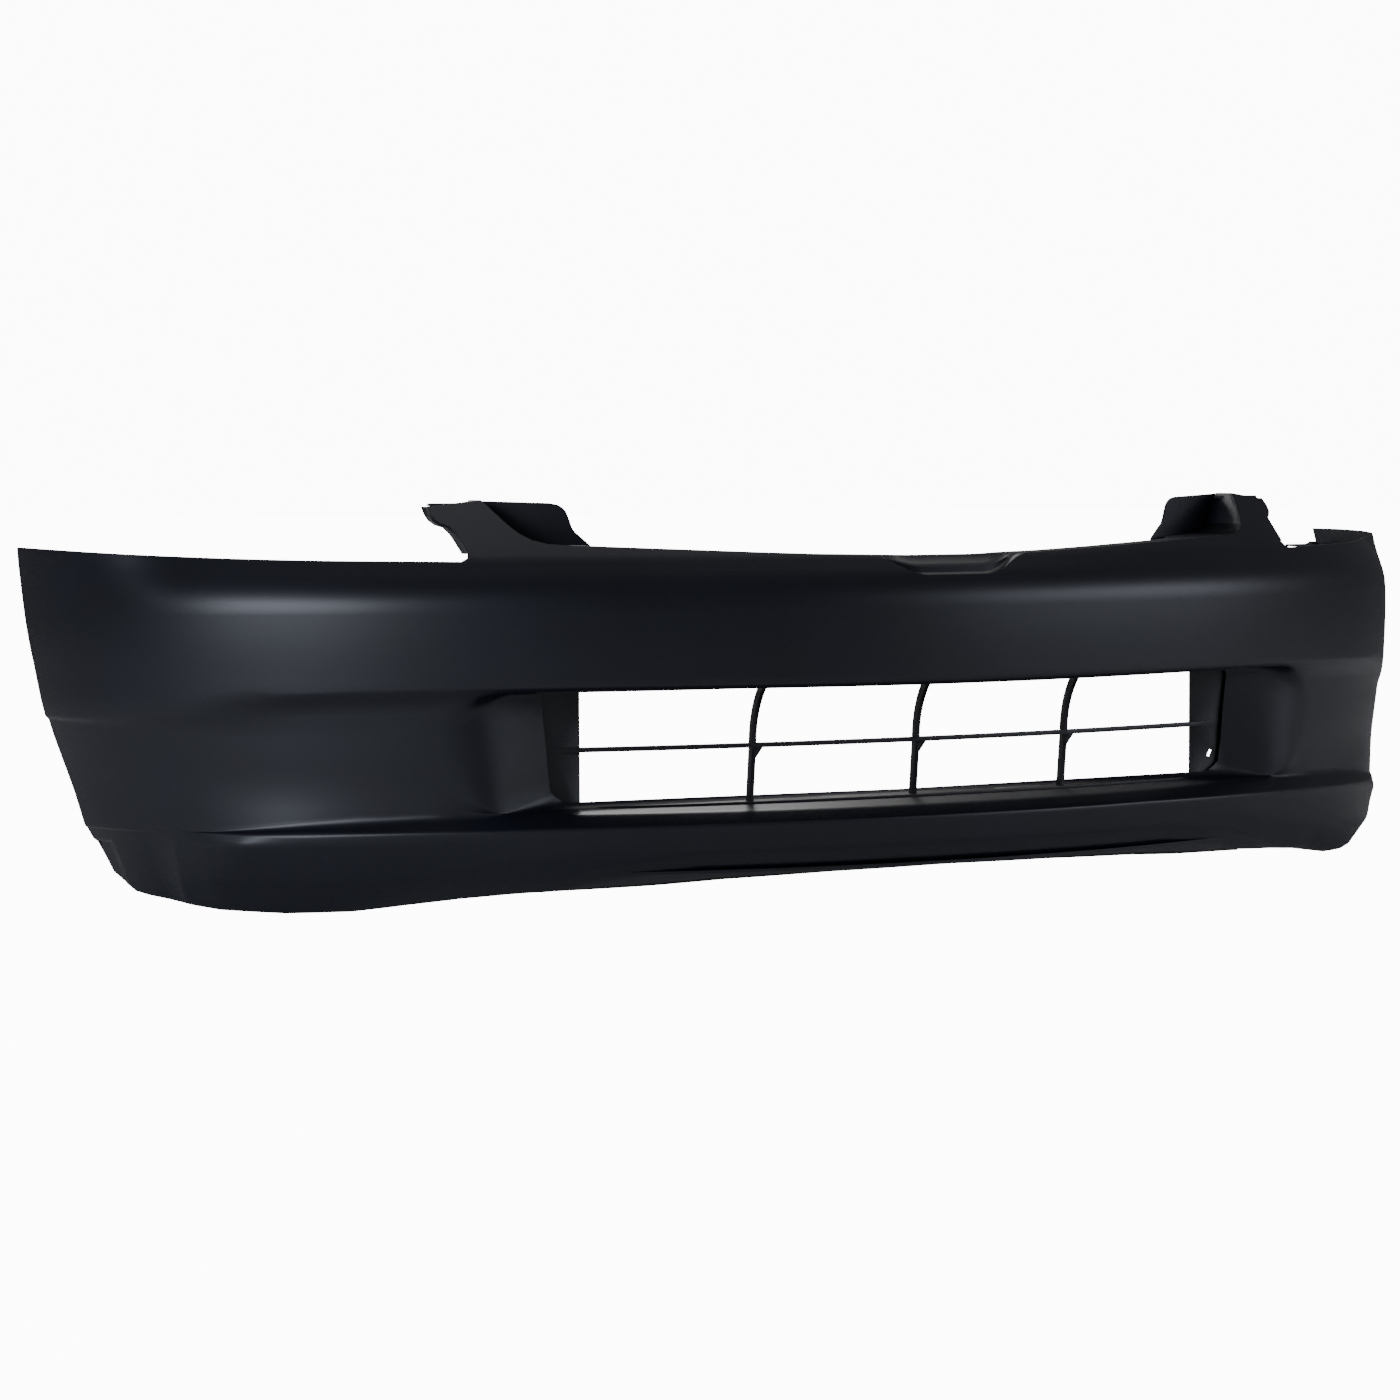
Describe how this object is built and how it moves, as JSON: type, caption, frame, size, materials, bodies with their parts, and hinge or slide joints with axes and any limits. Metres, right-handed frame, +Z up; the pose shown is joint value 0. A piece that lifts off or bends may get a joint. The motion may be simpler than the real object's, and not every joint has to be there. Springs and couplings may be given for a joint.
{
  "type": "front bumper cover",
  "caption": "Car front bumper cover with band, chin, headlamp-side ears, barred lower grille, side retainers, push-in clips and open rear.",
  "frame": {"origin": "middle of the footprint, on the plane that the chin stands on", "axes": "+X to the right seen from the front, -Y forward out of the car, +Z up"},
  "size_m": [1.8136, 0.6211, 0.452],
  "materials": {
    "primed_skin": "satin black primer over moulded polypropylene",
    "grille_plastic": "unpainted moulded black, low sheen",
    "retainer_plastic": "fine-grained moulded black",
    "clip_nylon": "smooth black nylon",
    "pin_nylon": "dark grey nylon",
    "zinc_steel": "bright zinc plate",
    "spring_steel": "grey phosphated spring steel",
    "lamp_foam": "closed-cell foam strip"
  },
  "bodies": {
    "body": {"cover": "primed_skin", "lower_grille": "grille_plastic", "side_retainer_left": "retainer_plastic", "side_retainer_right": "retainer_plastic", "clip_bodies_left": "clip_nylon", "clip_bodies_right": "clip_nylon", "grille_top_screws": "zinc_steel", "grille_bottom_screws": "zinc_steel", "liner_nuts_left": "spring_steel", "liner_nuts_right": "spring_steel", "lamp_pad_left": "lamp_foam", "lamp_pad_right": "lamp_foam"},
    "clip_pin_left_front": {"clip_pin_left_front": "pin_nylon"},
    "clip_pin_left_rear": {"clip_pin_left_rear": "pin_nylon"},
    "clip_pin_right_front": {"clip_pin_right_front": "pin_nylon"},
    "clip_pin_right_rear": {"clip_pin_right_rear": "pin_nylon"}
  },
  "joints": [
    {"name": "clip_pin_left_front_slide", "type": "slide", "parent": "body", "child": "clip_pin_left_front", "axis": [0, 0, 1], "range_m": [0, 0.006]},
    {"name": "clip_pin_left_rear_slide", "type": "slide", "parent": "body", "child": "clip_pin_left_rear", "axis": [0, 0, 1], "range_m": [0, 0.006]},
    {"name": "clip_pin_right_front_slide", "type": "slide", "parent": "body", "child": "clip_pin_right_front", "axis": [0, 0, 1], "range_m": [0, 0.006]},
    {"name": "clip_pin_right_rear_slide", "type": "slide", "parent": "body", "child": "clip_pin_right_rear", "axis": [0, 0, 1], "range_m": [0, 0.006]}
  ]
}
